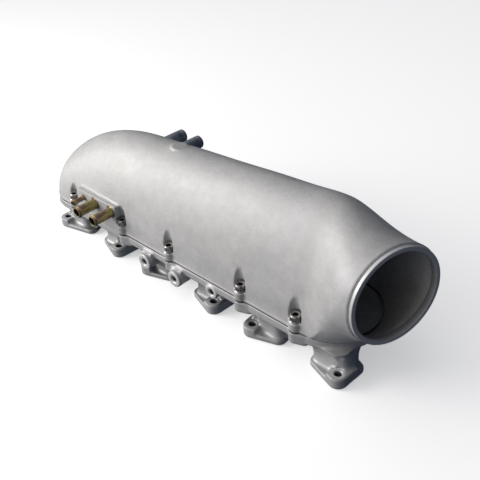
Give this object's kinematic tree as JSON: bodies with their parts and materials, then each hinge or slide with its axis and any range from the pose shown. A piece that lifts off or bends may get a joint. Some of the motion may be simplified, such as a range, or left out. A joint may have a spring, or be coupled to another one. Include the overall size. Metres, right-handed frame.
{
  "type": "intake manifold",
  "caption": "Cast log plenum split along a level seam, with a round angled inlet, short runners to a row of diamond bolt flanges, hose nipples and side bosses",
  "frame": {"origin": "centre of the port flange face, midway between ports 3 and 4 and on the line of port centres", "axes": "+X along the port row towards the inlet, +Z out of the port face towards the plenum, -Y the side with the yellow hose nipples"},
  "size_m": [0.6097, 0.2025, 0.1945],
  "materials": {
    "cast_upper": "bead-blasted sand casting",
    "cast_lower": "bead-blasted sand casting",
    "gasket": "matt",
    "turned_aluminium": "turned",
    "screw_steel": "machined",
    "zinc_passivated": "yellow passivated",
    "plain_pipe": "satin"
  },
  "bodies": {
    "root": {"upper_shell": "cast_upper", "lower_shell": "cast_lower", "plenum_gasket": "gasket", "bellmouth_1": "turned_aluminium", "bellmouth_2": "turned_aluminium", "bellmouth_3": "turned_aluminium", "bellmouth_4": "turned_aluminium", "bellmouth_5": "turned_aluminium", "bellmouth_6": "turned_aluminium", "cap_screws_near": "screw_steel", "washers_near": "screw_steel", "cap_screws_far": "screw_steel", "washers_far": "screw_steel", "dowel_sleeves": "screw_steel", "nipple_large_1": "zinc_passivated", "nipple_large_2": "zinc_passivated", "nipple_small": "zinc_passivated", "rear_pipe_1": "plain_pipe", "rear_pipe_2": "plain_pipe", "rear_fitting": "zinc_passivated"}
  },
  "joints": []
}
